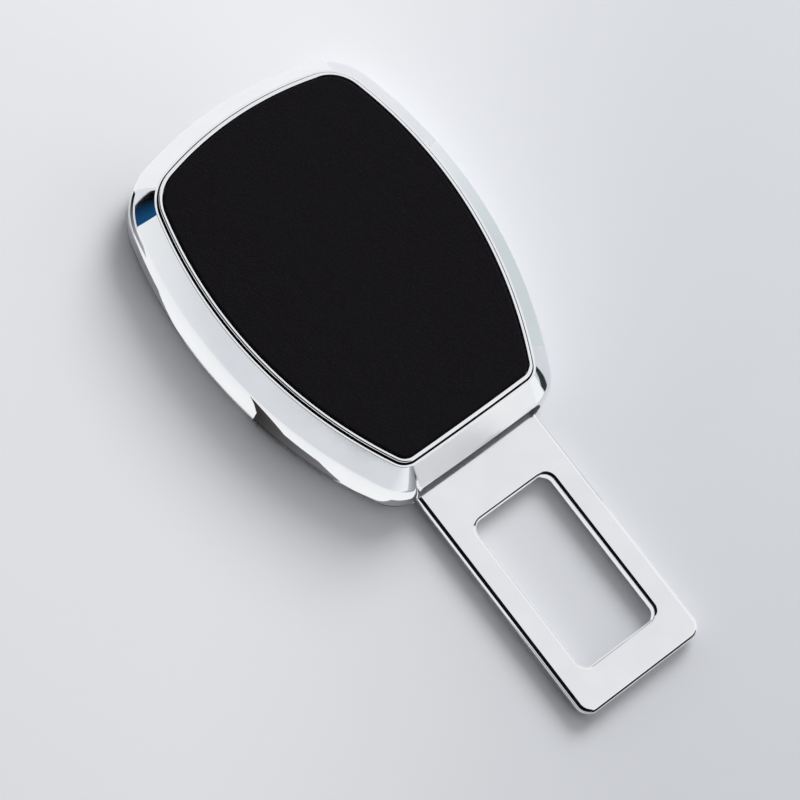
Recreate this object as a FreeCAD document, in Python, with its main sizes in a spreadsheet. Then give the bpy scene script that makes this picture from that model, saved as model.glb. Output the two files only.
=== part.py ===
import FreeCAD, Part
import Sketcher
import math
import os
import re

# A latch tongue with a shield-shaped chrome head and a leather inlay.
# Lengths are in millimetres. The back of the head lies on z = 0, the leather faces +Z,
# the wide end of the head points along +Y and the tip of the tongue along -Y.
# Sketches are drawn about the middle of the inlay, which lies at y = head_middle.

doc = FreeCAD.newDocument("tongue_head")
sheet = doc.addObject("Spreadsheet::Sheet", "Sizes")

# Driving dimensions: word, value or formula, what it is
SIZES = (
    # outline of the leather inlay, seen from above
    ("inlay_half_length", 29.8, "middle of the inlay to either end"),
    ("wide_radius", 55, "radius of the wide end"),
    ("narrow_radius", 700, "radius of the almost straight narrow end"),
    ("side_reach", 21.1, "half the greatest width of the inlay"),
    ("side_middle", 4.9, "where the inlay is widest, ahead of its middle"),
    ("side_radius", 72.5, "radius of the long sides"),
    ("wide_corner", 6.4, "corner radius at the wide end"),
    ("narrow_corner", 2.2, "corner radius at the narrow end"),
    # outlines that run beside the inlay's, outward when positive
    ("bead_grow", 0.65, "outer side of the bezel"),
    ("tray_grow", 0, "inner side of the bezel"),
    ("pocket_grow", 0.85, "wall of the shell's pocket"),
    ("land_grow", 1.25, "outer side of the narrow land at the top of the shell"),
    ("rim_grow", 4.9, "upright outer wall of the head"),
    ("low_cavity_grow", 3.1, "lower part of the shell's hollow"),
    ("high_cavity_grow", 0.8, "upper part of the shell's hollow"),
    ("leather_grow", -0.02, "side of the leather inside the bezel"),
    ("board_grow", -0.9, "edge of the board under the leather"),
    ("inlay_tape_grow", -0.5, "edge of the tape under the board"),
    ("bezel_tape_grow", 0.2, "edge of the tape under the bezel"),
    # heights above the back of the head
    ("back_height", 0, "back of the head"),
    ("floor_height", 0.9, "inside floor of the rear cover"),
    ("seam_height", 1.8, "seam between shell and rear cover"),
    ("tongue_thickness", 2.5, "thickness of the tongue plate"),
    ("tongue_top", "=floor_height + tongue_thickness", "top of the tongue"),
    ("slot_room", 4.3, "height of the slot's opening above the tongue"),
    ("slot_top", "=tongue_top + slot_room", "upper lip of the slot that the tongue comes out of"),
    ("lip_depth", 0.3, "how far the slot's lip hangs below the lower hollow's ceiling"),
    ("low_cavity_top", "=slot_top + lip_depth", "ceiling of the lower hollow"),
    ("land_height", 12.2, "top of the shell"),
    ("pocket_depth", 1.4, "depth of the pocket for the bezel"),
    ("pocket_floor", "=land_height - pocket_depth", "floor of the pocket for the bezel"),
    ("deck_thickness", 1.5, "thickness of the deck under the pocket"),
    ("deck_height", "=pocket_floor - deck_thickness", "ceiling of the upper hollow"),
    ("bead_rise", 0.8, "how far the bezel stands above the shell"),
    ("bead_height", "=land_height + bead_rise", "crest of the bezel"),
    ("leather_rise", 0.1, "how far the leather stands above the bezel"),
    ("leather_height", "=bead_height + leather_rise", "top of the leather"),
    # rim of the head
    ("bevel_angle", 54, "slope of the bevel, in degrees from level"),
    ("bevel_run", "=rim_grow - land_grow", "width of the bevel before rounding"),
    ("bevel_drop", "=bevel_run * tan(bevel_angle * 1 deg)", "depth of the bevel before rounding"),
    ("shoulder_radius", 4.4, "rounding between bevel and wall"),
    ("land_rounding", 0.1, "rounding of the land's two edges"),
    ("back_radius", 1.5, "rounding of the rear cover's outer edge"),
    ("seam_bevel", 0.15, "small bevel on both sides of the seam"),
    # tongue plate
    ("tongue_half_width", 12, "half the width of the tongue"),
    ("tongue_reach", 77.6, "middle of the inlay to the tip of the tongue"),
    ("tip_corner", 2.4, "corner radius at the tip"),
    ("edge_rounding", 0.65, "rounding of the tongue's long edges"),
    ("side_bar", 4.5, "width of the bars on both sides of the window"),
    ("window_half_width", "=tongue_half_width - side_bar", "half the width of the latch window"),
    ("tip_bar", 6.2, "width of the bar between window and tip"),
    ("window_length", 28.5, "length of the latch window"),
    ("window_far", "=tongue_reach - tip_bar", "middle of the inlay to the window's far edge"),
    ("window_near", "=window_far - window_length", "middle of the inlay to the window's near edge"),
    ("window_corner", 1.8, "corner radius of the window"),
    ("window_rounding", 0.6, "rounding of the window's edges"),
    ("root_step", 1.5, "how far the root stands out beside the blade"),
    ("root_half_width", "=tongue_half_width + root_step", "half the width of the root inside the head"),
    ("root_setback", 3.8, "the root's shoulders, back from the end of the inlay"),
    ("root_start", "=inlay_half_length - root_setback", "middle of the inlay to the root's shoulders"),
    ("root_end", 6, "middle of the inlay to the root's end"),
    ("root_corner", 1.0, "corner radius of the root"),
    ("slot_gap", 0.15, "room beside the tongue in the slot"),
    ("slot_corner", 1.0, "rounding of the slot's two upper corners"),
    ("slot_overrun", 2, "how far the slot's cut runs past the wall"),
    ("slot_overlap", 1, "how far the slot's cut runs into the hollow"),
    ("slot_half_width", "=tongue_half_width + slot_gap", "half the width of the slot"),
    ("slot_outer", "=inlay_half_length + rim_grow + slot_overrun", "outer end of the slot's cut"),
    ("slot_inner", "=inlay_half_length + low_cavity_grow - slot_overlap", "inner end of the slot's cut"),
    # block that fills the mouth above the tongue
    ("block_end", 9, "middle of the inlay to the block's end"),
    ("block_gap", 0.2, "room between the block and the hollow's end wall"),
    ("nose_recess", 1.3, "how far the block's nose lies behind the wall"),
    ("block_front", "=inlay_half_length + high_cavity_grow - block_gap", "middle of the inlay to the block's front"),
    ("nose_front", "=inlay_half_length + rim_grow - nose_recess", "middle of the inlay to the block's nose"),
    ("nose_inset", 0.6, "how far the nose stands in from the tongue's sides"),
    ("nose_half_width", "=tongue_half_width - nose_inset", "half the width of the nose"),
    ("nose_gap", 0.3, "room between the nose and the slot's lip"),
    ("nose_height", "=slot_top - nose_gap", "top of the nose"),
    # screws
    ("tongue_screw_inset", 4.5, "tongue screw from the edge of the tongue"),
    ("tongue_screw_across", "=tongue_half_width - tongue_screw_inset", "tongue screw from the middle line"),
    ("tongue_screw_along", -17, "tongue screw, behind the inlay's middle"),
    ("tongue_screw_radius", 2.0, "shank of the tongue screw"),
    ("tongue_head_radius", 3.6, "head of the tongue screw"),
    ("tongue_screw_length", 9, "length of the tongue screw"),
    ("tongue_boss_radius", 3.6, "boss that takes the tongue screw"),
    ("boss_room", 0.1, "room round a boss inside the block"),
    ("cover_screw_radius", 1.25, "shank of the cover screw"),
    ("cover_head_radius", 2.5, "head of the cover screw"),
    ("cover_screw_length", 7, "length of the cover screw"),
    ("cover_boss_radius", 3.2, "boss that takes the cover screw"),
    ("front_screw_across", 16.5, "front cover screw from the middle line"),
    ("front_screw_along", 19, "front cover screw ahead of the inlay's middle"),
    ("boss_clearance", 0.5, "room between the root and a cover screw's boss"),
    ("rear_screw_across", "=root_half_width + boss_clearance + cover_boss_radius",
     "rear cover screw from the middle line"),
    ("rear_screw_along", -8, "rear cover screw, behind the inlay's middle"),
    ("hole_room", 0.25, "room round a screw's shank in a clearance hole"),
    ("hole_extra", 0.5, "depth of a pilot hole beyond its screw"),
    ("tongue_hole_radius", "=tongue_screw_radius + hole_room", "clearance hole in the tongue"),
    ("cover_hole_radius", "=cover_screw_radius + hole_room", "clearance hole in the cover"),
    ("block_hole_radius", "=tongue_boss_radius + boss_room", "hole of the block round a boss"),
    ("head_sink", 0.1, "depth of a screw's head below the surface"),
    ("socket_share", 0.5, "hexagon socket as a share of the head's radius"),
    ("socket_depth_share", 0.8, "hexagon socket as a share of the head's depth"),
    # leather, board and tapes
    ("bezel_tape_thickness", 0.2, "tape under the bezel"),
    ("bezel_floor_thickness", 0.5, "floor of the bezel"),
    ("inlay_tape_thickness", 0.15, "tape under the board"),
    ("board_thickness", 0.55, "board under the leather"),
    ("bead_rounding", 0.28, "rounding of the bead"),
    ("leather_rounding", 0.55, "rolled edge of the leather"),
    ("leather_skirt", "=board_thickness", "depth of the leather's folded edge"),
    # levels and places that follow from the sizes above
    ("bezel_base", "=pocket_floor + bezel_tape_thickness", "underside of the bezel"),
    ("bezel_floor", "=bezel_base + bezel_floor_thickness", "inside floor of the bezel"),
    ("board_base", "=bezel_floor + inlay_tape_thickness", "underside of board and leather"),
    ("head_middle", "=(tongue_reach - inlay_half_length - rim_grow) / 2", "y of the inlay's middle"),
)


def fill_sheet():
    """Writes every driving dimension into the sheet under its own word."""
    for row, (word, value, note) in enumerate(SIZES, start=1):
        sheet.set("A%d" % row, word)
        sheet.set("B%d" % row, str(value))
        sheet.set("C%d" % row, note)
        sheet.setAlias("B%d" % row, word)
    doc.recompute()


def size(word):
    """The number that the sheet holds under a word."""
    found = sheet.get(word)
    return float(getattr(found, "Value", found))


def bind(thing, prop, formula):
    """Ties a property to a formula of the sheet's words; every such word has an underscore."""
    thing.setExpression(prop, re.sub(r"\b([a-z]+_[a-z_]+)\b", r"Sizes.\1", formula))


# Sketch helpers

def new_body(name, label):
    """A named body, one for each solid piece."""
    body = doc.addObject("PartDesign::Body", name)
    body.Label = label
    return body


def new_sketch(body, name, height):
    """A level sketch about the inlay's middle, at a height given as a formula."""
    sketch = body.newObject("Sketcher::SketchObject", name)
    plane = [item for item in body.Origin.OriginFeatures if item.Role == "XY_Plane"][0]
    sketch.AttachmentSupport = [(plane, "")]
    sketch.MapMode = "FlatFace"
    bind(sketch, "AttachmentOffset.Base.y", "head_middle")
    bind(sketch, "AttachmentOffset.Base.z", height)
    return sketch


def tie(sketch, constraint, name, formula):
    """Adds a measured constraint and ties it to a formula."""
    number = sketch.addConstraint(constraint)
    sketch.renameConstraint(number, name)
    bind(sketch, "Constraints." + name, formula)


def pin(sketch, shape, point, kind, name, value, formula):
    """Holds one coordinate of a point; a distance is always positive."""
    if value >= 0:
        tie(sketch, Sketcher.Constraint(kind, -1, 1, shape, point, value), name, formula)
    else:
        tie(sketch, Sketcher.Constraint(kind, shape, point, -1, 1, -value), name, "0 - (%s)" % formula)


def crossing(first, first_radius, second, second_radius, side):
    """The crossing of two circles that lies on the given side of the middle line."""
    between = second - first
    span = between.Length
    along = (first_radius ** 2 - second_radius ** 2 + span ** 2) / (2 * span)
    across = math.sqrt(first_radius ** 2 - along ** 2)
    ahead = FreeCAD.Vector(between).normalize()
    beside = FreeCAD.Vector(-ahead.y, ahead.x, 0)
    points = [first + ahead * along + beside * across, first + ahead * along - beside * across]
    return max(points, key=lambda point: side * point.x)


def bearing(centre, point):
    """Direction from a centre to a point, in radians."""
    return math.atan2(point.y - centre.y, point.x - centre.x)


def draw_outline(sketch, grow_word):
    """Draws the shield outline as eight arcs that run into each other, grown by a word."""
    grow = size(grow_word)
    wide = FreeCAD.Vector(0, size("inlay_half_length") - size("wide_radius"), 0)
    narrow = FreeCAD.Vector(0, size("narrow_radius") - size("inlay_half_length"), 0)
    inset = size("side_reach") - size("side_radius")
    right = FreeCAD.Vector(inset, size("side_middle"), 0)
    left = FreeCAD.Vector(-inset, size("side_middle"), 0)

    def corner(end, end_word, side_centre, corner_word, side):
        end_radius = size(end_word) - size(corner_word)
        side_radius = size("side_radius") - size(corner_word)
        return crossing(end, end_radius, side_centre, side_radius, side)

    wide_right = corner(wide, "wide_radius", right, "wide_corner", 1)
    wide_left = corner(wide, "wide_radius", left, "wide_corner", -1)
    narrow_left = corner(narrow, "narrow_radius", left, "narrow_corner", -1)
    narrow_right = corner(narrow, "narrow_radius", right, "narrow_corner", 1)
    # centre, radius word, and the two corner centres that the arc ends toward, turning left
    rows = (
        (right, "side_radius", narrow_right, wide_right),
        (wide_right, "wide_corner", None, None),
        (wide, "wide_radius", wide_right, wide_left),
        (wide_left, "wide_corner", None, None),
        (left, "side_radius", wide_left, narrow_left),
        (narrow_left, "narrow_corner", None, None),
        (narrow, "narrow_radius", narrow_left, narrow_right),
        (narrow_right, "narrow_corner", None, None),
    )
    count = len(rows)
    spans = []
    for centre, word, start, end in rows:
        spans.append((bearing(centre, start), bearing(centre, end)) if start else None)
    for index in range(1, count, 2):
        spans[index] = (spans[index - 1][1], spans[(index + 1) % count][0])
    for (centre, word, start, end), (first, last) in zip(rows, spans):
        circle = Part.Circle(centre, FreeCAD.Vector(0, 0, 1), size(word) + grow)
        if last < first:
            last = last + 2 * math.pi
        sketch.addGeometry(Part.ArcOfCircle(circle, first, last), False)
    for index in range(count):
        sketch.addConstraint(Sketcher.Constraint("Tangent", index, 2, (index + 1) % count, 1))
    for index, (centre, word, start, end) in enumerate(rows):
        radius = Sketcher.Constraint("Radius", index, size(word) + grow)
        tie(sketch, radius, "radius_%d" % index, "%s + %s" % (word, grow_word))
    pin(sketch, 0, 3, "DistanceX", "right_x", right.x, "side_reach - side_radius")
    pin(sketch, 0, 3, "DistanceY", "right_y", right.y, "side_middle")
    pin(sketch, 4, 3, "DistanceX", "left_x", left.x, "side_radius - side_reach")
    pin(sketch, 4, 3, "DistanceY", "left_y", left.y, "side_middle")
    sketch.addConstraint(Sketcher.Constraint("PointOnObject", 2, 3, -2))
    pin(sketch, 2, 3, "DistanceY", "wide_y", wide.y, "inlay_half_length - wide_radius")
    sketch.addConstraint(Sketcher.Constraint("PointOnObject", 6, 3, -2))
    pin(sketch, 6, 3, "DistanceY", "narrow_y", narrow.y, "narrow_radius - inlay_half_length")


def draw_rectangle(sketch, half_word, far_word, near_word):
    """Draws a rectangle about the middle line, between two distances toward the tip."""
    half = size(half_word)
    far = -size(far_word)
    near = -size(near_word)
    corners = ((-half, far), (half, far), (half, near), (-half, near))
    points = [FreeCAD.Vector(across, along, 0) for across, along in corners]
    for index in range(4):
        sketch.addGeometry(Part.LineSegment(points[index], points[(index + 1) % 4]), False)
    for index in range(4):
        sketch.addConstraint(Sketcher.Constraint("Coincident", index, 2, (index + 1) % 4, 1))
    for index, kind in enumerate(("Horizontal", "Vertical", "Horizontal", "Vertical")):
        sketch.addConstraint(Sketcher.Constraint(kind, index))
    pin(sketch, 0, 1, "DistanceX", "left_side", -half, "0 - " + half_word)
    pin(sketch, 0, 2, "DistanceX", "right_side", half, half_word)
    pin(sketch, 0, 1, "DistanceY", "far_side", far, "0 - " + far_word)
    pin(sketch, 2, 1, "DistanceY", "near_side", near, "0 - " + near_word)


def draw_circles(sketch, screws, radius_word):
    """Draws a circle on both sides of the middle line at each screw's place."""
    radius = size(radius_word)
    for across_word, along_word in screws:
        for side in (1, -1):
            index = sketch.GeometryCount
            across = side * size(across_word)
            along = size(along_word)
            circle = Part.Circle(FreeCAD.Vector(across, along, 0), FreeCAD.Vector(0, 0, 1), radius)
            sketch.addGeometry(circle, False)
            formula = "%d * %s" % (side, across_word)
            pin(sketch, index, 3, "DistanceX", "across_%d" % index, across, formula)
            pin(sketch, index, 3, "DistanceY", "along_%d" % index, along, along_word)
            tie(sketch, Sketcher.Constraint("Radius", index, radius), "round_%d" % index, radius_word)


# Feature helpers

def pad(body, name, sketch, formula):
    """Raises a sketch by a formula."""
    feature = body.newObject("PartDesign::Pad", name)
    feature.Profile = sketch
    bind(feature, "Length", formula)
    doc.recompute()
    body.Tip = feature
    return feature


def pocket(body, name, sketch, formula, upward=False):
    """Cuts a sketch downward, or upward when asked, and makes sure that it took something away."""
    before = body.Shape.Volume
    feature = body.newObject("PartDesign::Pocket", name)
    feature.Profile = sketch
    feature.Reversed = upward
    bind(feature, "Length", formula)
    doc.recompute()
    body.Tip = feature
    doc.recompute()
    if body.Shape.Volume >= before:
        raise RuntimeError(name + " cuts nothing")
    return feature


def edge_names(shape, wanted):
    """Names of the edges that a test accepts."""
    return ["Edge%d" % number for number, edge in enumerate(shape.Edges, start=1) if wanted(edge)]


def level(height):
    """A test for edges that lie flat at a height."""
    def wanted(edge):
        box = edge.BoundBox
        return abs(box.ZMin - height) < 0.001 and abs(box.ZMax - height) < 0.001
    return wanted


def upright(places, reach=0.05):
    """A test for upright edges that stand at one of the places."""
    def wanted(edge):
        box = edge.BoundBox
        thin = box.XLength < 0.001 and box.YLength < 0.001
        near = any(abs(box.XMin - x) < reach and abs(box.YMin - y) < reach for x, y in places)
        return thin and box.ZLength > 0.1 and near
    return wanted


def round_edges(body, name, wanted, formula):
    """Rounds the edges that a test accepts."""
    base = body.Tip
    feature = body.newObject("PartDesign::Fillet", name)
    feature.Base = (base, edge_names(base.Shape, wanted))
    bind(feature, "Radius", formula)
    doc.recompute()
    body.Tip = feature
    return feature


def bevel_edges(body, name, wanted, formula):
    """Bevels the edges that a test accepts, by the same amount both ways."""
    base = body.Tip
    feature = body.newObject("PartDesign::Chamfer", name)
    feature.Base = (base, edge_names(base.Shape, wanted))
    bind(feature, "Size", formula)
    doc.recompute()
    body.Tip = feature
    return feature


# Words for the places of the screws; each place is used on both sides of the middle line
COVER_SCREWS = (("front_screw_across", "front_screw_along"), ("rear_screw_across", "rear_screw_along"))
TONGUE_SCREWS = (("tongue_screw_across", "tongue_screw_along"),)


# The front shell

def bevel_rim(body):
    """Cuts the wide bevel round the top of the shell, then rounds its lower edge into the wall."""
    top = size("land_height")
    wall_edge = top - size("bevel_drop")
    base = body.Tip
    bevel = body.newObject("PartDesign::Chamfer", "rim_bevel")
    bevel.Base = (base, edge_names(base.Shape, level(top)))
    bevel.ChamferType = "Two distances"
    bind(bevel, "Size", "bevel_run")
    bind(bevel, "Size2", "bevel_drop")
    doc.recompute()
    if not edge_names(bevel.Shape, level(wall_edge)):
        bevel.FlipDirection = True
        doc.recompute()
    body.Tip = bevel
    round_edges(body, "rim_shoulder", level(wall_edge), "shoulder_radius")


def make_front_shell():
    """Die-cast shell: bevelled outside, pocket for the bezel, hollow inside, slot and bosses."""
    body = new_body("front_shell", "front shell")
    outside = new_sketch(body, "shell_outline", "seam_height")
    draw_outline(outside, "rim_grow")
    pad(body, "shell_block", outside, "land_height - seam_height")
    bevel_rim(body)
    recess = new_sketch(body, "pocket_outline", "land_height")
    draw_outline(recess, "pocket_grow")
    pocket(body, "bezel_pocket", recess, "land_height - pocket_floor")
    round_edges(body, "land_edges", level(size("land_height")), "land_rounding")
    bevel_edges(body, "seam_edge", level(size("seam_height")), "seam_bevel")
    low = new_sketch(body, "low_cavity_outline", "seam_height")
    draw_outline(low, "low_cavity_grow")
    pocket(body, "low_cavity", low, "low_cavity_top - seam_height", upward=True)
    high = new_sketch(body, "high_cavity_outline", "low_cavity_top")
    draw_outline(high, "high_cavity_grow")
    pocket(body, "high_cavity", high, "deck_height - low_cavity_top", upward=True)
    cut_shell_slot(body)
    add_shell_bosses(body)
    return body


def cut_shell_slot(body):
    """Opens the narrow end for the tongue."""
    slot = new_sketch(body, "slot_outline", "seam_height")
    draw_rectangle(slot, "slot_half_width", "slot_outer", "slot_inner")
    pocket(body, "tongue_slot", slot, "slot_top - seam_height", upward=True)
    round_edges(body, "slot_corners", slot_corner_edges, "slot_corner")


def slot_corner_edges(edge):
    """The two upper edges that run through the wall beside the slot."""
    box = edge.BoundBox
    straight = box.XLength < 0.001 and box.ZLength < 0.001
    at_side = abs(abs(box.XMin) - size("slot_half_width")) < 0.001
    return straight and at_side and abs(box.ZMin - size("slot_top")) < 0.001


def add_shell_bosses(body):
    """Screw bosses that hang from the deck, then their pilot holes."""
    cover = new_sketch(body, "cover_boss_outline", "seam_height")
    draw_circles(cover, COVER_SCREWS, "cover_boss_radius")
    pad(body, "cover_bosses", cover, "deck_height - seam_height")
    tongue = new_sketch(body, "tongue_boss_outline", "tongue_top")
    draw_circles(tongue, TONGUE_SCREWS, "tongue_boss_radius")
    pad(body, "tongue_bosses", tongue, "deck_height - tongue_top")
    cover_holes = new_sketch(body, "cover_hole_outline", "seam_height")
    draw_circles(cover_holes, COVER_SCREWS, "cover_screw_radius")
    depth = "cover_screw_length + head_sink + hole_extra - seam_height"
    pocket(body, "cover_holes", cover_holes, depth, upward=True)
    tongue_holes = new_sketch(body, "tongue_hole_outline", "tongue_top")
    draw_circles(tongue_holes, TONGUE_SCREWS, "tongue_screw_radius")
    depth = "tongue_screw_length + hole_extra - tongue_thickness"
    pocket(body, "tongue_holes", tongue_holes, depth, upward=True)


# The rear cover

def make_rear_cover():
    """Shallow die-cast tray that closes the shell from behind."""
    body = new_body("rear_cover", "rear cover")
    outside = new_sketch(body, "cover_outline", "back_height")
    draw_outline(outside, "rim_grow")
    pad(body, "cover_block", outside, "seam_height - back_height")
    round_edges(body, "back_edge", level(size("back_height")), "back_radius")
    bevel_edges(body, "cover_seam_edge", level(size("seam_height")), "seam_bevel")
    recess = new_sketch(body, "cover_recess_outline", "seam_height")
    draw_outline(recess, "low_cavity_grow")
    pocket(body, "cover_recess", recess, "seam_height - floor_height")
    channel = new_sketch(body, "channel_outline", "seam_height")
    draw_rectangle(channel, "slot_half_width", "slot_outer", "slot_inner")
    pocket(body, "tongue_channel", channel, "seam_height - floor_height")
    pads = new_sketch(body, "cover_pad_outline", "floor_height")
    draw_circles(pads, COVER_SCREWS, "cover_boss_radius")
    pad(body, "cover_pads", pads, "seam_height - floor_height")
    holes = new_sketch(body, "clearance_outline", "seam_height")
    draw_circles(holes, COVER_SCREWS, "cover_hole_radius")
    pocket(body, "clearance_holes", holes, "seam_height - back_height")
    sink = "cover_head_radius + head_sink - cover_hole_radius"
    mouths = hole_mouths(size("back_height"), size("cover_hole_radius"))
    bevel_edges(body, "countersinks", mouths, sink)
    return body


def hole_mouths(height, radius):
    """A test for round edges of one radius at a height."""
    flat = level(height)

    def wanted(edge):
        round_edge = isinstance(edge.Curve, Part.Circle)
        return flat(edge) and round_edge and abs(edge.Curve.Radius - radius) < 0.001
    return wanted


# The tongue plate

def make_tongue_plate():
    """Stamped plate: blade with a latch window, and a wider root inside the head."""
    body = new_body("tongue_plate", "tongue plate")
    blade = new_sketch(body, "blade_outline", "floor_height")
    draw_rectangle(blade, "tongue_half_width", "tongue_reach", "root_end")
    pad(body, "blade", blade, "tongue_thickness")
    root = new_sketch(body, "root_outline", "floor_height")
    draw_rectangle(root, "root_half_width", "root_start", "root_end")
    pad(body, "root", root, "tongue_thickness")
    window = new_sketch(body, "window_outline", "tongue_top")
    draw_rectangle(window, "window_half_width", "window_far", "window_near")
    pocket(body, "window", window, "tongue_thickness")
    tips = corner_places("tongue_half_width", ("tongue_reach",))
    round_edges(body, "tip_corners", upright(tips), "tip_corner")
    ends = corner_places("root_half_width", ("root_start", "root_end"))
    round_edges(body, "root_corners", upright(ends), "root_corner")
    corners = corner_places("window_half_width", ("window_near", "window_far"))
    round_edges(body, "window_corners", upright(corners), "window_corner")
    holes = new_sketch(body, "root_hole_outline", "tongue_top")
    draw_circles(holes, TONGUE_SCREWS, "tongue_hole_radius")
    pocket(body, "root_holes", holes, "tongue_thickness")
    mouths = hole_mouths(size("floor_height"), size("tongue_hole_radius"))
    bevel_edges(body, "root_countersinks", mouths, "tongue_head_radius - tongue_hole_radius")
    round_edges(body, "window_edges", window_edges, "window_rounding")
    round_edges(body, "blade_edges", blade_edges, "edge_rounding")
    return body


def corner_places(half_word, along_words):
    """Places of the upright edges on both sides, at distances toward the tip."""
    middle = size("head_middle")
    return [(side * size(half_word), middle - size(word)) for side in (-1, 1) for word in along_words]


def flat_tongue_edge(edge):
    """True for edges that lie flat on the plate's upper or lower face."""
    return level(size("tongue_top"))(edge) or level(size("floor_height"))(edge)


def window_edges(edge):
    """Edges round the window, on both faces."""
    box = edge.BoundBox
    middle = size("head_middle")
    within = box.XMax < size("window_half_width") + 0.01 and box.XMin > -size("window_half_width") - 0.01
    low = box.YMin > middle - size("window_far") - 0.01
    high = box.YMax < middle - size("window_near") + 0.01
    return flat_tongue_edge(edge) and within and low and high


def blade_edges(edge):
    """Long edges and tip edges of the blade, on both faces."""
    box = edge.BoundBox
    middle = size("head_middle")
    at_side = max(abs(box.XMin), abs(box.XMax)) > size("tongue_half_width") - 0.01
    at_tip = abs(box.YMin - (middle - size("tongue_reach"))) < 0.01
    before_root = box.YMin < middle - size("root_start") - 0.5
    return flat_tongue_edge(edge) and before_root and (at_side or at_tip)


# The mouth block

def make_mouth_block():
    """Moulded block above the tongue, with a nose that closes the slot."""
    body = new_body("mouth_block", "mouth block")
    main_part = new_sketch(body, "block_outline", "tongue_top")
    draw_rectangle(main_part, "tongue_half_width", "block_front", "block_end")
    pad(body, "block", main_part, "deck_height - tongue_top")
    nose = new_sketch(body, "nose_outline", "tongue_top")
    draw_rectangle(nose, "nose_half_width", "nose_front", "block_end")
    pad(body, "nose", nose, "nose_height - tongue_top")
    holes = new_sketch(body, "block_hole_outline", "deck_height")
    draw_circles(holes, TONGUE_SCREWS, "block_hole_radius")
    pocket(body, "block_holes", holes, "deck_height - tongue_top")
    return body


# Bezel, leather, board and tapes

def make_bezel():
    """Thin bright tray whose rounded rim shows as a bead round the leather."""
    body = new_body("inlay_bezel", "inlay bezel")
    outside = new_sketch(body, "bezel_outline", "bezel_base")
    draw_outline(outside, "bead_grow")
    pad(body, "bezel_block", outside, "bead_height - bezel_base")
    inside = new_sketch(body, "tray_outline", "bead_height")
    draw_outline(inside, "tray_grow")
    pocket(body, "tray", inside, "bead_height - bezel_floor")
    round_edges(body, "bead", level(size("bead_height")), "bead_rounding")
    return body


def make_sheet_piece(name, label, grow_word, base, thickness):
    """A flat piece with the shield outline: tape or board."""
    body = new_body(name, label)
    outline = new_sketch(body, name + "_outline", base)
    draw_outline(outline, grow_word)
    pad(body, name + "_sheet", outline, thickness)
    return body


def make_leather():
    """Leather folded over the board, with a rolled edge."""
    body = new_body("leather_inlay", "leather inlay")
    outside = new_sketch(body, "leather_outline", "board_base")
    draw_outline(outside, "leather_grow")
    pad(body, "leather_block", outside, "leather_height - board_base")
    under = new_sketch(body, "leather_under_outline", "board_base")
    draw_outline(under, "board_grow")
    pocket(body, "leather_underside", under, "leather_skirt", upward=True)
    round_edges(body, "rolled_edge", level(size("leather_height")), "leather_rounding")
    return body


# Screws

def make_screw(name, side, across_word, along_word, base, kind):
    """One countersunk screw with a hexagon socket; its head faces down."""
    head = doc.addObject("Part::Cone", name + "_head")
    head_depth = "%s_head_radius - %s_screw_radius" % (kind, kind)
    bind(head, "Radius1", kind + "_head_radius")
    bind(head, "Radius2", kind + "_screw_radius")
    bind(head, "Height", head_depth)
    shank = doc.addObject("Part::Cylinder", name + "_shank")
    bind(shank, "Radius", kind + "_screw_radius")
    bind(shank, "Height", kind + "_screw_length")
    socket = doc.addObject("Part::Prism", name + "_socket")
    socket.Polygon = 6
    bind(socket, "Circumradius", kind + "_head_radius * socket_share")
    bind(socket, "Height", "(%s) * socket_depth_share" % head_depth)
    for piece in (head, shank, socket):
        bind(piece, "Placement.Base.x", "%d * %s" % (side, across_word))
        bind(piece, "Placement.Base.y", "head_middle + " + along_word)
        bind(piece, "Placement.Base.z", base)
    solid = doc.addObject("Part::MultiFuse", name + "_solid")
    solid.Shapes = [head, shank]
    screw = doc.addObject("Part::Cut", name)
    screw.Base = solid
    screw.Tool = socket
    return screw


def make_screws(name, label, places, base, kind):
    """Equal screws share one named group of separate solids."""
    screws = []
    for across_word, along_word in places:
        for side in (1, -1):
            single = "%s_screw_%d" % (kind, len(screws) + 1)
            screws.append(make_screw(single, side, across_word, along_word, base, kind))
    group = doc.addObject("Part::Compound", name)
    group.Label = label
    group.Links = screws
    doc.recompute()
    return group


def check_document():
    """Stops when any object of the document is broken or empty."""
    for item in doc.Objects:
        states = [state for state in item.State if "Invalid" in state or "Error" in state]
        if states:
            raise RuntimeError("%s is %s" % (item.Name, states))
        if hasattr(item, "Shape") and item.isDerivedFrom("Part::Feature"):
            if item.isDerivedFrom("Sketcher::SketchObject"):
                continue
            if item.Shape.isNull() or not item.Shape.isValid():
                raise RuntimeError(item.Name + " has a bad shape")


def main():
    fill_sheet()
    pieces = [
        make_front_shell(),
        make_rear_cover(),
        make_tongue_plate(),
        make_mouth_block(),
        make_bezel(),
        make_sheet_piece("bezel_tape", "bezel tape", "bezel_tape_grow", "pocket_floor", "bezel_tape_thickness"),
        make_sheet_piece("inlay_tape", "inlay tape", "inlay_tape_grow", "bezel_floor", "inlay_tape_thickness"),
        make_sheet_piece("inlay_backing", "inlay backing", "board_grow", "board_base", "board_thickness"),
        make_leather(),
        make_screws("tongue_screws", "tongue screws", TONGUE_SCREWS, "floor_height", "tongue"),
        make_screws("cover_screws", "cover screws", COVER_SCREWS, "head_sink", "cover"),
    ]
    doc.recompute()
    check_document()
    os.makedirs("parts", exist_ok=True)
    for piece in pieces:
        piece.Shape.exportStep("parts/%s.step" % piece.Name)
        box = piece.Shape.optimalBoundingBox(False)
        print("%-14s solids %d  x %.2f %.2f  y %.2f %.2f  z %.2f %.2f  volume %.0f" % (
            piece.Name, len(piece.Shape.Solids), box.XMin, box.XMax, box.YMin, box.YMax,
            box.ZMin, box.ZMax, piece.Shape.Volume))


main()
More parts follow.
